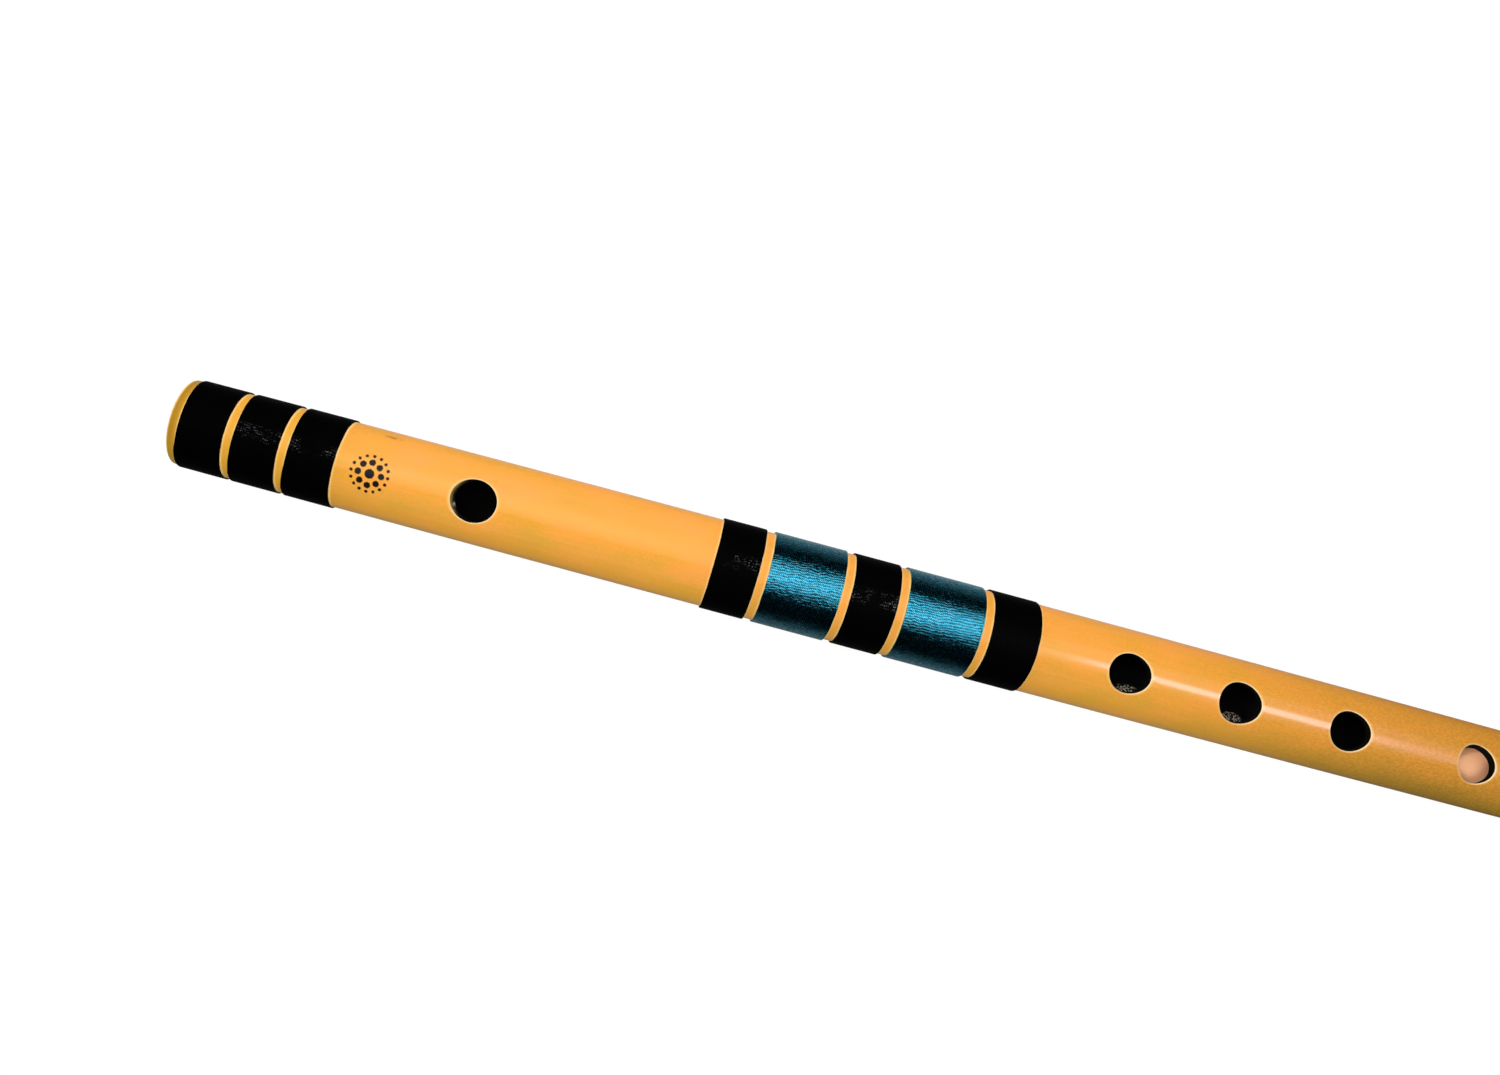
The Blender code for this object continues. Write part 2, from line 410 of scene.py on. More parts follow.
def brown_stain(skin):
    """A mask of a broken stain that lies on the far flank, just past the head bindings."""
    along = (skin.from_head - STAIN_PLACE[0]) * (1 / STAIN_SIZE[0])
    round_tube = (skin.angle - STAIN_PLACE[1]) * (1 / STAIN_SIZE[1])
    stain = skin.step((along * along + round_tube * round_tube).root(), 1.0, 0.2)
    return stain * skin.step(skin.noise(0.7 * MM, 1.2 * MM, detail=2, seed=13), 0.40, 0.50)


print("stain", STAIN_PLACE[0] / MM, "mm from the head")


# %% The skin itself
def skin_finish():
    """Lacquered bamboo skin, whose colour also holds painted light and shade."""
    skin = Finish("lacquered_skin")
    clouds = skin.noise(7 * MM, 16 * MM, detail=4)
    fibres = skin.noise(0.8 * MM, 26 * MM, detail=3, seed=3)
    grain = skin.noise(0.35 * MM, 0.9 * MM, detail=2, seed=7)
    tone = clouds * 0.45 + fibres * 0.2 + grain * 0.35
    colour = skin.node(
        "ValToRGB",
        {"stops": [(0.38, GREENISH_GOLD), (0.50, GOLDEN), (0.62, ROSY_GOLD)]},
        {"Fac": tone},
    )
    to_head = skin.step(skin.from_head, *PAINTED_LIGHT_HEAD_FADE)
    to_end = skin.step(skin.from_head, *END_SHADE_FADE)
    foot_shade_mask = skin.step(skin.from_head, *FOOT_SHADE_FADE)
    # Painted light: yellower and lighter near the head, making up for the lamps' falloff there.
    colour = skin.mix(to_head, colour, PAINTED_LIGHT_HEAD_GOLD)
    # Painted shade: darker over the last few millimetres of the head end.
    colour = skin.mix(to_end, colour, END_SHADE_GOLD)
    # Painted shade: darker towards the foot, where the lamps fall off.
    colour = skin.mix(foot_shade_mask * 0.85, colour, FOOT_SHADE_GOLD)
    # Painted shade: the near flank is painted darker and more olive, the more so towards the foot.
    near_flank_shade = skin.step(skin.aside + (clouds - 0.5) * (5 * MM), -3 * MM, -11 * MM)
    colour = skin.mix(near_flank_shade * (0.40 + foot_shade_mask * 0.2), colour, OLIVE_FLANK_SHADE)
    # Painted shade with real mottle: dark grain flecks and the shaded near flank, both darker towards
    # the foot.
    mottle = skin.step(grain, 0.60, 0.40) * 0.22 + near_flank_shade * 0.36
    colour = skin.mix(foot_shade_mask * mottle, colour, DARK_MOTTLE_AND_SHADE)
    flecks = skin.step(skin.noise(0.35 * MM, 2.2 * MM, detail=1, seed=11), 0.73, 0.80)
    flecks = flecks * skin.step(skin.noise(12 * MM, 20 * MM, seed=5), 0.45, 0.65)
    colour = skin.mix(flecks * 0.5, colour, FLECK)
    colour = skin.mix(brown_stain(skin) * 0.85, colour, STAIN)
    lip = lacquer_lip(skin)
    colour = skin.mix(lip * 0.75, colour, POOLED)
    colour = skin.mix(rim_halo(skin) * 0.4, colour, POOLED)
    ink = dotted_ornament(skin)
    colour = skin.mix(ink, colour, INK)
    waves = skin.noise(3.5 * MM, 30 * MM, detail=1, seed=2)
    relief = waves * 0.6 + fibres * 0.5 + lip * 0.3
    return skin.wear(
        Base_Color=colour,
        Roughness=0.32 + (fibres - 0.5) * 0.10,
        Specular_IOR_Level=0.12,
        Coat_Weight=0.5 - ink * 0.3,
        Coat_Roughness=0.13,
        Coat_IOR=1.45,
        Normal=skin.bump(relief, 0.35, 0.12 * MM),
    )


SKIN = skin_finish()
print("finish", SKIN.name)

# %% [markdown]
# ## Cut ends and scraped rims
# Under the skin, bamboo is a pale pith packed with dark strings, which show as dots on a cut. The
# dots are the cells of a Voronoi pattern, because strings keep their distance from each other, and
# noise would let them run together.

# %% The cut ends and the rims
PITH = (0.80, 0.55, 0.30)
BROWN_PITH = (0.66, 0.42, 0.20)
STRING = (0.36, 0.19, 0.075)
STRINGS_TO_METRE = 2100.0
RIM = (0.98, 0.80, 0.48)
HONEY_RIM = (0.90, 0.62, 0.28)


def cut_end_finish():
    """The sawn end of the bamboo, with its strings as dots that crowd towards the skin."""
    end = Finish("cut_end")
    cells = {"Vector": end.place, "Scale": STRINGS_TO_METRE}
    spread = end.node("TexVoronoi", {"feature": "F1"}, cells, output="Distance")
    outer = end.step(end.radius, HEAD_DIAMETER / 2 - WALL, HEAD_DIAMETER / 2)
    dots = end.step(spread, 0.20 + outer * 0.22, 0.10 + outer * 0.18)
    fuzz = end.noise(0.25 * MM, 0.25 * MM, detail=3)
    colour = end.mix(fuzz * 0.5, PITH, BROWN_PITH)
    colour = end.mix(dots * (0.55 + outer * 0.35), colour, STRING)
    return end.wear(
        Base_Color=colour,
        Roughness=0.7,
        Normal=end.bump(fuzz - dots * 0.5, 0.5, 0.08 * MM),
    )


def rim_finish():
    """The scraped rim of a hole, pale under the lacquer."""
    rim = Finish("scraped_rim")
    grain = rim.noise(0.2 * MM, 1.5 * MM, detail=2)
    return rim.wear(
        Base_Color=rim.mix(grain, RIM, HONEY_RIM),
        Roughness=0.35,
        Coat_Weight=0.6,
        Coat_Roughness=0.12,
        Normal=rim.bump(grain, 0.2, 0.05 * MM),
    )


CUT_END = cut_end_finish()
SCRAPED_RIM = rim_finish()
print("finishes", CUT_END.name, SCRAPED_RIM.name)

# %% [markdown]
# ## Burnt walls and bore
# The irons left the walls of the holes black. The bore is painted black as shade below the blow
# hole and the first three finger holes, and past a ragged edge it is the colour of straw. Pale grey
# patches past the first two finger holes are painted light that falls in through them, and a small
# pale spot on the blow hole's wall is a painted highlight.

# %% The burnt walls
AMBER = (0.34, 0.22, 0.055)
# Black of the burnt hole walls, also painted as shade in the bore.
CHAR_AND_BORE_SHADE = (0.0030, 0.0026, 0.0022)
# Pale grey painted light: a glint on the blow hole's wall and patches on the bore floor.
PAINTED_LIGHT_GREY = (0.85, 0.76, 0.60)
BLOW_HOLE_ENDS_BY = 80 * MM
# A small painted highlight low on the blow hole's head side.
GLINT_SPOT = (BLOW_HOLE - 4.2 * MM, -2.5 * MM)


def burnt_wall_finish():
    """The wall of a hole. The blow hole's was scraped deeper, so amber shows above the char, and a small
    pale spot low on its head side is a painted highlight.
    """
    wall = Finish("burnt_wall")
    grain = wall.noise(0.3 * MM, 0.3 * MM, detail=3)
    depth = barrel_radius(BLOW_HOLE) - wall.radius
    blow_hole = wall.step(wall.from_head, BLOW_HOLE_ENDS_BY, BLOW_HOLE_ENDS_BY - 2 * MM)
    charred = wall.step(depth + (grain - 0.5) * (1.4 * MM), 0.3 * MM, 1.5 * MM)
    head_side = wall.step(wall.from_head, BLOW_HOLE - 2.5 * MM, BLOW_HOLE - 4.5 * MM)
    amber = blow_hole * (1 - charred) * head_side
    # Painted highlight: a small pale grainy spot on the blow hole's wall.
    along_spot = wall.from_head - GLINT_SPOT[0]
    across_spot = wall.aside - GLINT_SPOT[1]
    spot = (along_spot * along_spot + across_spot * across_spot).root() + (grain - 0.5) * (1.5 * MM)
    painted_glint = wall.step(spot, 0.9 * MM, 0.3 * MM) * wall.step(grain, 0.42, 0.62)
    colour = wall.mix(painted_glint * 0.8, wall.mix(amber, CHAR_AND_BORE_SHADE, AMBER), PAINTED_LIGHT_GREY)
    return wall.wear(
        Base_Color=colour,
        Roughness=0.85,
        Specular_IOR_Level=0.15,
        Normal=wall.bump(grain, 0.8, 0.25 * MM),
    )


BURNT_WALL = burnt_wall_finish()
print("finish", BURNT_WALL.name)

# %% The bore
STRAW = (0.88, 0.53, 0.31)
DARK_STRAW = (0.66, 0.38, 0.21)
BORE_SHADE_SPANS = ((58 * MM, 88 * MM), (222 * MM, 323 * MM))
BORE_SHADE_FADE = 4 * MM
# Where the patches of painted light lie, past the first two finger holes.
LIGHT_PATCH_PAST_HOLE = 9.0 * MM
LIGHT_PATCH_ASIDE = -3.9 * MM
LIGHT_PATCH_SIZE = (3.4 * MM, 1.5 * MM)


def bore_finish():
    """The bore: straw coloured, painted black as shade below the blow hole and the first three finger
    holes, with pale painted light past the first two finger holes.
    """
    bore = Finish("bore")
    grain = bore.noise(0.4 * MM, 1.2 * MM, detail=4)
    strings = bore.noise(0.3 * MM, 9 * MM, detail=2, seed=4)
    colour = bore.mix(strings * 0.6 + grain * 0.4, STRAW, DARK_STRAW)
    ragged = bore.from_head + (grain - 0.5) * (8 * MM)
    # Painted shade: the bore is painted black in these spans, below the blow hole and the first three
    # finger holes.
    for low, high in BORE_SHADE_SPANS:
        inside = (ragged - low) * (high - ragged)
        colour = bore.mix(bore.step(inside, 0, BORE_SHADE_FADE * (high - low)), colour, CHAR_AND_BORE_SHADE)
    # Painted light: pale grainy patches on the bore floor past the first two finger holes, where light
    # falls in.
    light_patch_grain = bore.step(bore.noise(0.45 * MM, 0.45 * MM, detail=2, seed=9), 0.46, 0.62)
    for hole in FINGER_HOLES[:2]:
        along_patch = (bore.from_head - hole - LIGHT_PATCH_PAST_HOLE) * (1 / LIGHT_PATCH_SIZE[0])
        across_patch = (bore.aside - LIGHT_PATCH_ASIDE) * (1 / LIGHT_PATCH_SIZE[1])
        out = (along_patch * along_patch + across_patch * across_patch).root() + (grain - 0.5) * 0.8
        colour = bore.mix(bore.step(out, 1.1, 0.6) * light_patch_grain, colour, PAINTED_LIGHT_GREY)
    return bore.wear(
        Base_Color=colour,
        Roughness=0.8,
        Specular_IOR_Level=0.2,
        Normal=bore.bump(grain + strings, 0.5, 0.15 * MM),
    )


TUBE_FINISHES = [SKIN, CUT_END, bore_finish(), SCRAPED_RIM, BURNT_WALL]
ON_END, ON_BORE, ON_RIM, ON_WALL = range(1, len(TUBE_FINISHES))
print("tube finishes:", [finish.name for finish in TUBE_FINISHES])

# %% [markdown]
# ## The tube
# Bamboo grows round, so the tube is an outline spun about its axis. Half the outline is the
# barrel with its rounded ends and half is the bore. A stretched cylinder would be quicker, but it
# has no room for the swelling or for the rounded lips of the ends.

# %% Outline of the tube
STATION_STEP = 4 * MM
END_ROUND = 0.3 * MM
BORE_ROUND = 0.3 * MM
ARC_STEPS = 4


def arc(along, radius, size, first, last):
    """Points on a quarter circle round a corner, between two angles in degrees."""
    turns = [math.radians(first + (last - first) * step / ARC_STEPS) for step in range(ARC_STEPS + 1)]
    return [(along + size * math.cos(turn), radius + size * math.sin(turn)) for turn in turns]


def tube_outline():
    """The closed outline of the wall, as distances from the head and from the axis."""
    steps = round(LENGTH / STATION_STEP)
    stations = [LENGTH * step / steps for step in range(1, steps)]
    outside = arc(END_ROUND, barrel_radius(0) - END_ROUND, END_ROUND, 180, 90)
    outside += [(station, barrel_radius(station)) for station in stations]
    outside += arc(LENGTH - END_ROUND, barrel_radius(LENGTH) - END_ROUND, END_ROUND, 90, 0)
    inside = arc(LENGTH - BORE_ROUND, bore_radius(LENGTH) + BORE_ROUND, BORE_ROUND, 0, -90)
    inside += [(station, bore_radius(station)) for station in stations[::-1]]
    inside += arc(BORE_ROUND, bore_radius(0) + BORE_ROUND, BORE_ROUND, -90, -180)
    return outside + inside


print("the outline has", len(tube_outline()), "points")

# %% [markdown]
# ## The outline spun round
# One spin makes the whole wall. A little unevenness, a few hundredths of a millimetre, then keeps
# the highlight from being a ruled line. Every face learns which finish it wears from where it is.

# %% The tube before its holes
ROUND_STEPS = 160
UNEVEN = 0.03 * MM


def spin_about_axis(bm, outline, steps):
    """Spins a closed outline of (from head, radius) points once about the flute's axis."""
    corners = [bm.verts.new((HEAD_X + along, 0, AXIS_Z + radius)) for along, radius in outline]
    for corner, follower in zip(corners, corners[1:] + corners[:1]):
        bm.edges.new((corner, follower))
    bmesh.ops.spin(
        bm,
        geom=bm.verts[:] + bm.edges[:],
        cent=(0, 0, AXIS_Z),
        axis=(1, 0, 0),
        angle=2 * math.pi,
        steps=steps,
        use_merge=True,
    )
    bmesh.ops.recalc_face_normals(bm, faces=bm.faces)


def out_from_axis(place):
    """Distance of a point from the flute's axis."""
    return math.hypot(place.y, place.z - AXIS_Z)


def move_out(vertex, distance):
    """Moves a vertex away from the flute's axis."""
    scale = 1 + distance / out_from_axis(vertex.co)
    vertex.co.y *= scale
    vertex.co.z = AXIS_Z + (vertex.co.z - AXIS_Z) * scale


tube_shape = bmesh.new()
spin_about_axis(tube_shape, tube_outline(), ROUND_STEPS)
for vertex in tube_shape.verts:
    spot = Vector((vertex.co.x / (28 * MM), vertex.co.y / (7 * MM), vertex.co.z / (7 * MM)))
    if out_from_axis(vertex.co) > HEAD_DIAMETER / 2 - WALL / 2:
        move_out(vertex, UNEVEN * (noise.noise(spot) - 0.5))
for face in tube_shape.faces:
    middle = face.calc_center_median()
    if abs(face.normal.x) > 0.9:
        face.material_index = ON_END
    elif out_from_axis(middle) < bore_radius(middle.x - HEAD_X) + WALL / 2:
        face.material_index = ON_BORE
print("tube before its holes:", len(tube_shape.faces), "faces")

# %% [markdown]
# ## Burning the holes
# A hole in a round wall has a saddle-shaped rim, so a plain round cutter would leave one side
# sharp. Each cutter is a post whose rings follow the barrel or the bore at every point round it.
# The rings roll the rim over, narrow the wall downwards and cut in under it at the bore.

# %% Rings of a cutter
RIM_TURNS = (0, 22, 44, 66)
RIM_FLARE = math.tan(math.radians(RIM_TURNS[-1]))
ABOVE_RIM = 0.5 * MM


def hole_levels():
    """Rings of a cutter from the bore up: how far from bore to barrel, the height above that
    face, how far it stands out from the hole's outline, and the finish of the wall below it."""
    flared = 2 * UNDERCUT - BURN_TAPER
    levels = [
        (0.0, -2 * UNDERCUT, flared, ON_WALL),
        (0.0, -UNDERCUT, flared, ON_WALL),
        (0.0, UNDERCUT, -BURN_TAPER, ON_WALL),
        (0.5, 0.0, -BURN_TAPER * 0.6, ON_WALL),
    ]
    for turn in RIM_TURNS:
        angle = math.radians(turn)
        height = -RIM_ROUND * (1 - math.sin(angle))
        outward = RIM_ROUND * (1 - math.cos(angle))
        levels.append((1.0, height, outward, ON_WALL if turn == 0 else ON_RIM))
    flare = outward + ABOVE_RIM * RIM_FLARE
    levels.append((1.0, height + ABOVE_RIM, flare, ON_RIM))
    levels.append((1.0, height + ABOVE_RIM + WALL, flare, ON_RIM))
    return levels


print("a cutter has", len(hole_levels()), "rings")

# %% [markdown]
# ## A post for every hole
# A cone with straight sides gives the post, and its uprights are cut into as many rings as the
# list has. Each point is then moved to its ring's height over the bore or the barrel. The oval
# wobbles by a hair, as a hole burnt by hand does.

# %% Posts that follow the barrel
HOLE_STEPS = 72
HAND_WOBBLE = 0.07 * MM


def post_through_wall(centre, size, clock):
    """One cutter: an oval post that narrows towards the bore, turned about the flute's axis."""
    length, width = size
    levels = hole_levels()
    bm = bmesh.new()
    bmesh.ops.create_cone(
        bm, cap_ends=True, segments=HOLE_STEPS, radius1=1, radius2=1, depth=len(levels) - 1
    )
    caps = [face for face in bm.faces if len(face.verts) == HOLE_STEPS]
    cap_edges = {edge for face in caps for edge in face.edges}
    uprights = [edge for edge in bm.edges if edge not in cap_edges]
    bmesh.ops.subdivide_edges(bm, edges=uprights, cuts=len(levels) - 2)
    lowest = min(vertex.co.z for vertex in bm.verts)
    for face in bm.faces:
        top_ring = max(round(vertex.co.z - lowest) for vertex in face.verts)
        face.material_index = levels[top_ring][3]
    for vertex in bm.verts:
        share, height, outward, _ = levels[round(vertex.co.z - lowest)]
        wobble = HAND_WOBBLE * noise.noise(Vector((vertex.co.x, vertex.co.y, centre / MM)))
        slant_along, slant_across = SLANTS.get(centre, (0, 0))
        along = centre + vertex.co.x * (length / 2 + outward + wobble) + slant_along * (1 - share)
        across = vertex.co.y * (width / 2 + outward + wobble) + slant_across * (1 - share)
        radius = bore_radius(along) + share * WALL
        on_face = math.sqrt(radius**2 - across**2) + height
        vertex.co = (
            HEAD_X + along,
            across * math.cos(clock) - on_face * math.sin(clock),
            AXIS_Z + across * math.sin(clock) + on_face * math.cos(clock),
        )
    bmesh.ops.recalc_face_normals(bm, faces=bm.faces)
    return bm


print("a post has", HOLE_STEPS, "sides")


# %% All the posts in one shape
def gather(shapes):
    """Joins several bmeshes into one."""
    together = bmesh.new()
    for shape in shapes:
        carrier = bpy.data.meshes.new("carrier")
        shape.to_mesh(carrier)
        shape.free()
        together.from_mesh(carrier)
        bpy.data.meshes.remove(carrier)
    return together


posts = gather([post_through_wall(place, size, clock) for place, size, clock in HOLES])
print("posts:", len(posts.faces), "faces for", len(HOLES), "holes")

# %% [markdown]
# ## One cut
# All the posts are one object, so the tube takes one Boolean cut. The result is kept as a plain
# mesh, and the edges between two finishes are marked sharp, so that the shading of the skin stops
# at a rim.

# %% Cut the holes
SHARP_ANGLE = math.radians(35)


def new_piece(name, bm, finishes):
    """A smooth-shaded object at the origin, with its place in its mesh."""
    mesh = bpy.data.meshes.new(name)
    bm.to_mesh(mesh)
    bm.free()
    for finish in finishes:
        mesh.materials.append(finish)
    mesh.shade_smooth()
    mesh.set_sharp_from_angle(angle=SHARP_ANGLE)
    piece = bpy.data.objects.new(name, mesh)
    bpy.context.scene.collection.objects.link(piece)
    return piece


def cut_away(piece, cutter):
    """Takes the cutter's shape out of the piece and keeps the result as a plain mesh."""
    cut = piece.modifiers.new("cut", "BOOLEAN")
    cut.operation = "DIFFERENCE"
    cut.solver = "EXACT"
    cut.object = cutter
    seen = piece.evaluated_get(bpy.context.evaluated_depsgraph_get())
    piece.data = bpy.data.meshes.new_from_object(seen)
    piece.modifiers.clear()
    bpy.data.objects.remove(cutter, do_unlink=True)


def part_finishes(piece):
    """Keeps the shading of one finish from running into the next, along sharp edges."""
    bm = bmesh.new()
    bm.from_mesh(piece.data)
    bmesh.ops.remove_doubles(bm, verts=bm.verts, dist=0.001 * MM)
    for edge in bm.edges:
        if len({face.material_index for face in edge.link_faces}) > 1:
            edge.smooth = False
    open_edges = sum(len(edge.link_faces) != 2 for edge in bm.edges)
    bm.to_mesh(piece.data)
    bm.free()
    return open_edges


tube = new_piece("lacquered_tube", tube_shape, TUBE_FINISHES)
cut_away(tube, new_piece("posts", posts, TUBE_FINISHES))
open_edges = part_finishes(tube)
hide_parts("bamboo_tube")
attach(tube, "flute")
print("tube:", len(tube.data.polygons), "faces,", open_edges, "open edges")

# %% [markdown]
# ## The thread bindings
# Each binding is one length of twisted thread wound side by side, which keeps the bamboo from
# splitting. A flat sleeve with painted lines would have a smooth outline, so the thread is real
# here, and its finish only adds what is finer than a turn: the strokes of its twisted plies. They
# follow a count of steps along the thread, which each point of it keeps as an attribute.

# %% Twisted thread
STEPS_IN_TURN = 72
STROKES_ROUND = 108.6
STROKE_SLANT = -1.5 / MM


def twisted(thread):
    """Two heights on the surface of a thread: its plies, as slanting strokes, and its lint."""
    steps = thread.node("Attribute", {"attribute_name": "steps"}, {}, output="Fac")
    drift = thread.noise(2.2 * MM, 2.2 * MM, detail=2, seed=1)
    phase = steps * (2 * math.pi * STROKES_ROUND / STEPS_IN_TURN)
    phase = phase + thread.from_head * (2 * math.pi * STROKE_SLANT)
    plies = (phase + drift * 12).sine() * 0.5 + 0.5
    lint = thread.noise(0.35 * MM, 0.35 * MM, detail=2, seed=6)
    return plies, lint


print("a turn of thread has", STEPS_IN_TURN, "steps and", STROKES_ROUND, "strokes")

# %% Teal thread
TEAL_SHADOW = (0.01, 0.14, 0.20)
TEAL_SHINE = (0.12, 0.74, 1.00)


def teal_thread_finish():
    """Silky thread: it shines in its own colour where it mirrors a light, and is dark elsewhere."""
    thread = Finish("wound_teal_thread")
    plies, lint = twisted(thread)
    patch = thread.noise(0.7 * MM, 0.9 * MM, detail=1, seed=8)
    light = thread.step(plies * 0.4 + lint * 0.6 + patch * 0.4, 0.45, 0.95)
    speckle = thread.step(lint * 0.6 + patch * 0.4, 0.48, 0.60)
    return thread.wear(
        Base_Color=thread.mix(light, TEAL_SHADOW, TEAL_SHINE),
        Metallic=1.0,
        Roughness=0.20,
        Coat_Weight=speckle * 0.9,
        Coat_Roughness=0.30,
        Coat_IOR=1.45,
        Normal=thread.bump(plies * 0.30 + lint * 0.45 + patch * 0.75, 0.9, 0.12 * MM),
    )


TEAL_THREAD = teal_thread_finish()
print("finish", TEAL_THREAD.name)

# %% Black thread
WAXED_BLACK = (0.0005, 0.0005, 0.0006)
HANDLED = ((14 * MM, 39 * MM), (132 * MM, 178 * MM))
HANDLED_FADE = 4 * MM * MM
RUBBED_ANGLE = math.radians(8)
RUBBED_WIDTH = (math.radians(12), math.radians(4))


def black_thread_finish():
    """Waxed black thread: nearly all of it is dull, and a stroke here and there shines."""
    thread = Finish("wound_black_thread")
    plies, lint = twisted(thread)
    patch = thread.noise(1.1 * MM, 1.1 * MM, detail=2, seed=8)
    rubbed = thread.step((thread.angle - RUBBED_ANGLE).size(), *RUBBED_WIDTH)
    handled = 0
    for low, high in HANDLED:
        inside = (thread.from_head - low) * (high - thread.from_head)
        handled = handled + thread.step(inside, 0, HANDLED_FADE)
    rubbed = rubbed * handled * thread.step(thread.noise(6 * MM, 4 * MM, detail=1, seed=3), 0.40, 0.58)
    shiny = thread.step(plies * 0.30 + lint * 0.65 + patch * 0.4, 0.81, 0.90) * rubbed
    return thread.wear(
        Base_Color=WAXED_BLACK,
        Roughness=0.5,
        Specular_IOR_Level=0.02,
        Coat_Weight=shiny,
        Coat_Roughness=0.20,
        Coat_IOR=2.2,
        Normal=thread.bump(plies * 0.12 + lint * 0.15 + patch * 0.7, 0.9, 0.12 * MM),
    )


BLACK_THREAD = black_thread_finish()
print("finish", BLACK_THREAD.name)

# %% [markdown]
# ## Winding the thread
# A small ring of points is spun once round the tube while it moves along by its own width. That
# turn is copied side by side and the copies are joined, which gives one thread from end to end.
# Its two ends are tucked in underneath, where the flute lies on them.

# %% One turn of thread
THREAD_SIDES = 12
OVERLAP = 1.05
FLATTENED = 0.6


def one_turn(start, pitch, thickness):
    """One open turn of thread from the underside of the tube, with a count of its steps."""
    bm = bmesh.new()
    counter = bm.verts.layers.float.new("steps")
    bmesh.ops.create_circle(bm, segments=THREAD_SIDES, radius=1)
    for vertex in bm.verts:
        vertex.co.x = math.copysign(abs(vertex.co.x) ** FLATTENED, vertex.co.x) / 2
        vertex.co.y = math.copysign(abs(vertex.co.y) ** FLATTENED, vertex.co.y) / 2
    bmesh.ops.scale(bm, vec=(pitch * OVERLAP, thickness * OVERLAP, 1), verts=bm.verts)
    bmesh.ops.rotate(bm, matrix=Matrix.Rotation(math.pi / 2, 3, "X"), verts=bm.verts)
    centre = barrel_radius(start) + thickness / 2
    bmesh.ops.translate(bm, vec=(HEAD_X + start, 0, AXIS_Z - centre), verts=bm.verts)
    bmesh.ops.spin(
        bm,
        geom=bm.verts[:] + bm.edges[:],
        cent=(0, 0, AXIS_Z),
        axis=(1, 0, 0),
        dvec=(pitch / STEPS_IN_TURN, 0, 0),
        angle=-2 * math.pi,
        steps=STEPS_IN_TURN,
    )
    for number, vertex in enumerate(bm.verts):
        vertex[counter] = number // THREAD_SIDES
    return bm, counter


print("a turn has", THREAD_SIDES * STEPS_IN_TURN, "faces")

# %% A wound thread
HAND_DRIFT = 0.07 * MM
TUCK_TURNS = 0.12
NEAR_SPREAD = 2.3
FAR_SPREAD = 1.0


def wound_thread(start, end, thickness, lean, set_back):
    """A thread wound side by side from start to end, its first and last stretch tucked in. The
    turns lean a little and are set back at both sides, the first ones more than the last."""
    turns = round((end - start) / thickness)
    pitch = (end - start) / turns
    bm, counter = one_turn(start, pitch, thickness)
    first_turn = bm.verts[:] + bm.edges[:] + bm.faces[:]
    for turn in range(1, turns):
        copied = bmesh.ops.duplicate(bm, geom=first_turn)["geom"]
        copies = [part for part in copied if isinstance(part, bmesh.types.BMVert)]
        bmesh.ops.translate(bm, vec=(pitch * turn, 0, 0), verts=copies)
        for vertex in copies:
            vertex[counter] += STEPS_IN_TURN * turn
    bmesh.ops.remove_doubles(bm, verts=bm.verts, dist=0.002 * MM)
    last_step = STEPS_IN_TURN * turns
    tuck_steps = STEPS_IN_TURN * TUCK_TURNS
    for vertex in bm.verts:
        to_end = min(vertex[counter], last_step - vertex[counter])
        tuck = max(0, 1 - to_end / tuck_steps) * thickness * OVERLAP
        drift = noise.noise(vertex.co / (3.5 * MM)) + 0.4 * noise.noise(vertex.co / (0.9 * MM))
        swell = barrel_radius(vertex.co.x - HEAD_X) - barrel_radius(start)
        side = vertex.co.y / out_from_axis(vertex.co)
        spread = NEAR_SPREAD if side < 0 else FAR_SPREAD
        back = set_back * side**2 * (1 + spread * (1 - vertex[counter] / last_step))
        move_out(vertex, swell - tuck)
        vertex.co.x += HAND_DRIFT * drift + lean * side - back
    bmesh.ops.holes_fill(bm, edges=bm.edges)
    bmesh.ops.recalc_face_normals(bm, faces=bm.faces)
    return bm


print("the ends are tucked in over", round(360 * TUCK_TURNS), "degrees")

# %% [markdown]
# ## Eleven bindings
# The head and the foot have a finer thread than the middle. Its turns lean and spread a little,
# as turns do that were pushed together by a thumb.

# %% Wind the bindings
THREAD_OF_GROUP = {"head": 0.36 * MM, "middle": 0.44 * MM, "foot": 0.36 * MM}
LEAN = {"head": 0.10 * MM, "middle": 0.08 * MM, "foot": 0.10 * MM}
SET_BACK = {"head": 0.25 * MM, "middle": 0.0, "foot": 0.25 * MM}
FINISH_OF_SLOT = {"black_thread": BLACK_THREAD, "teal_thread": TEAL_THREAD}
for node, ends in binding_ends.items():
    group = node.split("_")[0]
    slot = slot_of_node[node]
    shape = wound_thread(*ends, THREAD_OF_GROUP[group], LEAN[group], SET_BACK[group])
    winding = new_piece(node.replace("binding", "winding"), shape, [FINISH_OF_SLOT[slot]])
    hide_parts(node)
    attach(winding, "flute")
    print(winding.name, len(winding.data.polygons), "faces")

# %% [markdown]
# ## The cork
# A cork closes the bore beside the blow hole, and the player pushes it to tune the octaves. It is
# cut from bark, so it has short brown pores that lie in rows.

# %% The cork's finish
TAN_CORK = (0.50, 0.30, 0.15)
BROWN_CORK = (0.30, 0.155, 0.070)
CORK_PORE = (0.085, 0.040, 0.018)


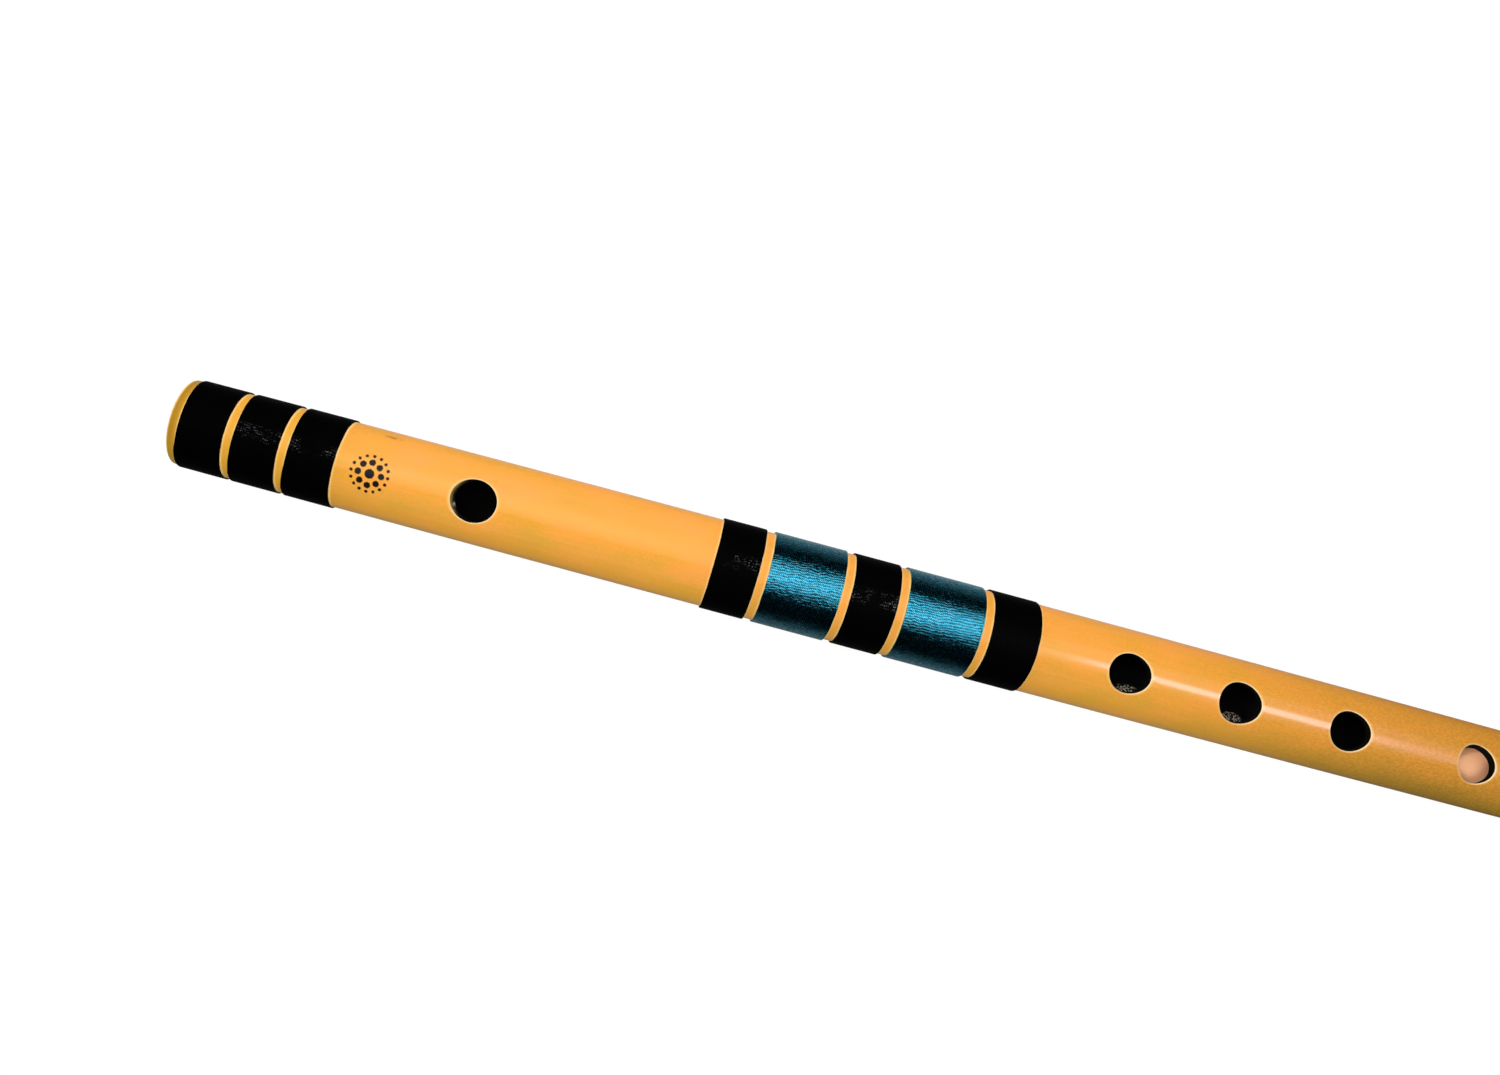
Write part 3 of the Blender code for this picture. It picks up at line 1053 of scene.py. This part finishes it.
def cork_finish():
    """Raw cork: mottled tan with dark pores."""
    cork = Finish("cork")
    mottle = cork.noise(1.6 * MM, 1.2 * MM, detail=4)
    pores = cork.step(cork.noise(0.45 * MM, 1.1 * MM, detail=2, seed=3), 0.60, 0.70)
    colour = cork.mix(mottle, TAN_CORK, BROWN_CORK)
    colour = cork.mix(pores, colour, CORK_PORE)
    return cork.wear(
        Base_Color=colour,
        Roughness=0.85,
        Normal=cork.bump(mottle - pores, 0.7, 0.25 * MM),
    )


CORK = cork_finish()
print("finish", CORK.name)

# %% [markdown]
# ## The cork's shape
# The bore narrows towards the head, so the cork is a slight cone. It is drawn as it is where the
# bore is narrowest on its way, 3 mm nearer to the head, and so it stays clear of the wall there.

# %% The cork stopper
CORK_STEPS = 96
CORK_CHAMFER = 0.6 * MM
CORK_GAP = 0.3 * MM
CORK_TRAVEL = 3 * MM
CORK_CUTS = 14
CORK_ROUGH = 0.12 * MM
CORK_CRUMB = 1.1 * MM

cork_low, cork_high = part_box("cork_stopper")
back, front = cork_low.x - HEAD_X, cork_high.x - HEAD_X
cork_shape = bmesh.new()
upright = Matrix.Translation(((cork_low.x + cork_high.x) / 2, 0, AXIS_Z))
bmesh.ops.create_cone(
    cork_shape,
    cap_ends=True,
    segments=CORK_STEPS,
    radius1=bore_radius(back - CORK_TRAVEL) - CORK_GAP,
    radius2=bore_radius(front - CORK_TRAVEL) - CORK_GAP,
    depth=front - back,
    matrix=upright @ Matrix.Rotation(math.pi / 2, 4, "Y"),
)
rims = [edge for face in cork_shape.faces if len(face.verts) == CORK_STEPS for edge in face.edges]
bmesh.ops.bevel(
    cork_shape,
    geom=rims,
    offset=CORK_CHAMFER,
    offset_type="OFFSET",
    segments=3,
    profile=0.5,
    affect="EDGES",
    material=-1,
)
long_edges = [edge for edge in cork_shape.edges if edge.calc_length() > CORK_CHAMFER * 4]
bmesh.ops.subdivide_edges(cork_shape, edges=long_edges, cuts=CORK_CUTS, use_grid_fill=True)
for vertex in cork_shape.verts:
    if out_from_axis(vertex.co) > CORK_CHAMFER:
        move_out(vertex, -CORK_ROUGH * abs(noise.noise(vertex.co / CORK_CRUMB)))
cork = new_piece("cork_plug", cork_shape, [CORK])
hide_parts("cork_stopper")
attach(cork, "stopper")
print("cork", round((front - back) / MM, 1), "mm long,", len(cork.data.polygons), "faces")

# %% [markdown]
# ## The studio
# The flute lies on a white table that fills the view. The table glows a little, so that it stays
# white to its far edge, and only a trace of the flute's shadow shows on it. The room below the
# flute is never seen itself. It is there for the flanks of the silky thread to mirror.

# %% A white table
TABLE_SIZE = 4.0
TABLE_GLOW = 0.97
TABLE_PAINT = (0.06, 0.06, 0.06)

table_material = bpy.data.materials.new("white_table")
table_material.use_nodes = True
paint = Nodes(table_material.node_tree)
glow = paint.node("Emission", {}, {"Color": (1, 1, 1), "Strength": TABLE_GLOW})
matt = paint.node("BsdfDiffuse", {}, {"Color": TABLE_PAINT})
both = paint.node("AddShader", {}, {0: glow, 1: matt})
paint.fill(paint.tree.nodes["Material Output"], {"Surface": both})

table_shape = bmesh.new()
bmesh.ops.create_grid(table_shape, x_segments=1, y_segments=1, size=TABLE_SIZE / 2)
table = new_piece("white_table", table_shape, [table_material])
table.visible_diffuse = False
table.visible_glossy = False
table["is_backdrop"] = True
print("table", TABLE_SIZE, "m wide")

# %% A pale room
ROOM_ABOVE = (0.004, 0.004, 0.004)
ROOM_BELOW = (0.19, 0.19, 0.19)
ROOM_FAR_BELOW = (0.42, 0.42, 0.42)
ROOM_TILT = 0.14

world = bpy.data.worlds.new("pale_room")
world.use_nodes = True
bpy.context.scene.world = world
room = Nodes(world.node_tree)
toward = room.node("TexCoord", {}, {}, output="Generated")
height = room.node("SeparateXYZ", {}, {0: toward}, output="Z")
lengthwise = room.node("SeparateXYZ", {}, {0: toward}, output="X").size()
sideways = room.node("SeparateXYZ", {}, {0: toward}, output="Y")
beside_flute = room.step(lengthwise, 0.7, 0.4)
low_down = room.step(height - sideways * ROOM_TILT, -0.22, -0.50) * beside_flute
far_below = room.step(height, -0.55, -0.95) * room.step(sideways, 0.0, 0.3)
surroundings = room.mix(low_down, ROOM_ABOVE, room.mix(far_below, ROOM_BELOW, ROOM_FAR_BELOW))
lighting = room.node("Background", {}, {"Color": surroundings, "Strength": 1.0})
backdrop = room.node("Background", {}, {"Color": (1, 1, 1), "Strength": 1.0})
seen = room.node("LightPath", {}, {}, output="Is Camera Ray")
mixed = room.node("MixShader", {}, {0: seen, 1: lighting, 2: backdrop})
room.fill(room.tree.nodes["World Output"], {"Surface": mixed})
print("room", world.name)

# %% [markdown]
# ## Lights
# A lamp that lights a matt surface well seldom draws the right reflection, so each lamp here does
# one of the two. Key, fill, top, head and foot light what is matt. Box, strip and glow are only
# mirrored: the box is the broad sheen, and the others are the bright line on the lacquer and its
# end.


# %% A lamp that faces a point
def facing(place, aim):
    """The turn of a light that faces a point, with its own X as nearly along the flute as it goes."""
    back = (Vector(place) - Vector(aim)).normalized()
    side = back.cross((1, 0, 0)).normalized()
    return Matrix((side.cross(back), side, back)).transposed().to_euler()


def soft_light(name, place, aim, size, watts, colour, mirrored):
    """A rectangular light that faces a point. One that is mirrored only draws highlights, and
    one that isn't only lights what is matt."""
    data = bpy.data.lights.new(name, "AREA")
    data.shape = "RECTANGLE"
    data.size, data.size_y = size
    data.energy = watts
    data.color = colour
    light = bpy.data.objects.new(name, data)
    light.location = place
    light.rotation_euler = facing(place, aim)
    light.visible_camera = False
    light.visible_glossy = mirrored
    light.visible_diffuse = not mirrored
    bpy.context.scene.collection.objects.link(light)


print("a lamp is placed, aimed and given its size in metres")

# %% The soft lamps
WARM_WHITE = (1.0, 0.97, 0.93)
CREAM = (1.0, 0.98, 0.90)
COOL_WHITE = (0.97, 0.97, 1.0)
PINK = (1.0, 0.80, 1.0)
DEEP_PINK = (1.0, 0.65, 1.0)
MATT_LAMPS = (
    # name, place, the point it faces, size in metres, watts, colour
    ("key", (-0.12, 0.498, 0.243), (-0.11, 0, 0.01), (0.5, 0.5), 2.9, WARM_WHITE),
    ("fill", (-0.07, -0.328, 0.239), (-0.05, 0, 0.01), (0.5, 0.3), 1.28, CREAM),
    ("top", (-0.23, 0.10, 0.50), (-0.05, 0, 0.01), (0.25, 0.2), 1.2, WARM_WHITE),
    ("head", (-0.80, 0, 0.06), (HEAD_X, 0, 0.01), (0.2, 0.1), 3.0, WARM_WHITE),
    ("foot", (0.80, 0, 0.06), (-HEAD_X, 0, 0.01), (0.2, 0.1), 3.0, WARM_WHITE),
)
MIRRORED_LAMPS = (
    ("box", (0.02, 0.10, 0.50), (-0.02, 0, 0), (0.9, 0.50), 1.9, COOL_WHITE),
    ("strip", (0.305, 0.035, 0.55), (0.04, 0, 0), (0.19, 0.13), 1.3, PINK),
    ("glow", (0.49, 0.035, 0.55), (0.08, 0, 0), (0.17, 0.22), 0.25, DEEP_PINK),
)
for lamp in MATT_LAMPS:
    soft_light(*lamp, mirrored=False)
for lamp in MIRRORED_LAMPS:
    soft_light(*lamp, mirrored=True)
print("soft lamps:", len(MATT_LAMPS), "for matt surfaces,", len(MIRRORED_LAMPS), "mirrored")

# %% [markdown]
# ## Keeping the bright line off the silk
# Every turn of the silky thread is a small curved mirror, so it would catch the strip far from
# where the lacquer does. A photographer would hold up a card. Here the two lamps that draw the
# line leave the silky pieces out.

# %% Leave the silk out of the bright line
silky_pieces = bpy.data.collections.new("silky_pieces")
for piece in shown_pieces():
    if piece.data.materials[0] == TEAL_THREAD:
        silky_pieces.objects.link(piece)
for entry in silky_pieces.collection_objects:
    entry.light_linking.link_state = "EXCLUDE"
for name in ("strip", "glow"):
    bpy.data.objects[name].light_linking.receiver_collection = silky_pieces

# %% [markdown]
# ## Light inside the bore
# Below the fourth hole the floor of the bore is bright, because light comes in at the fifth. A
# soft lamp would have to be far too strong for that, so two narrow beams shine in there.

# %% Narrow beams
BEAM_CONE = math.radians(1.6)
BEAM_BLEND = 0.3
BEAM_SOURCE = 6 * MM
BEAM_WATTS = 5.0
BEAM_COLOUR = (1.0, 0.90, 0.84)
BEAMS = (("beam_1", (0.203, -0.036, 0.40)), ("beam_2", (0.172, 0.003, 0.40)))


def narrow_beam(name, place, aim):
    """A small spotlight that shines on a point."""
    data = bpy.data.lights.new(name, "SPOT")
    data.spot_size = BEAM_CONE
    data.spot_blend = BEAM_BLEND
    data.shadow_soft_size = BEAM_SOURCE
    data.energy = BEAM_WATTS
    data.color = BEAM_COLOUR
    light = bpy.data.objects.new(name, data)
    light.location = place
    light.rotation_euler = facing(place, aim)
    light.visible_glossy = False
    bpy.context.scene.collection.objects.link(light)


fifth_hole = Vector((HEAD_X + FINGER_HOLES[4], 0, AXIS_Z + barrel_radius(FINGER_HOLES[4])))
for name, away in BEAMS:
    narrow_beam(name, fifth_hole + Vector(away), fifth_hole)
print("lights:", [light.name for light in bpy.data.lights])
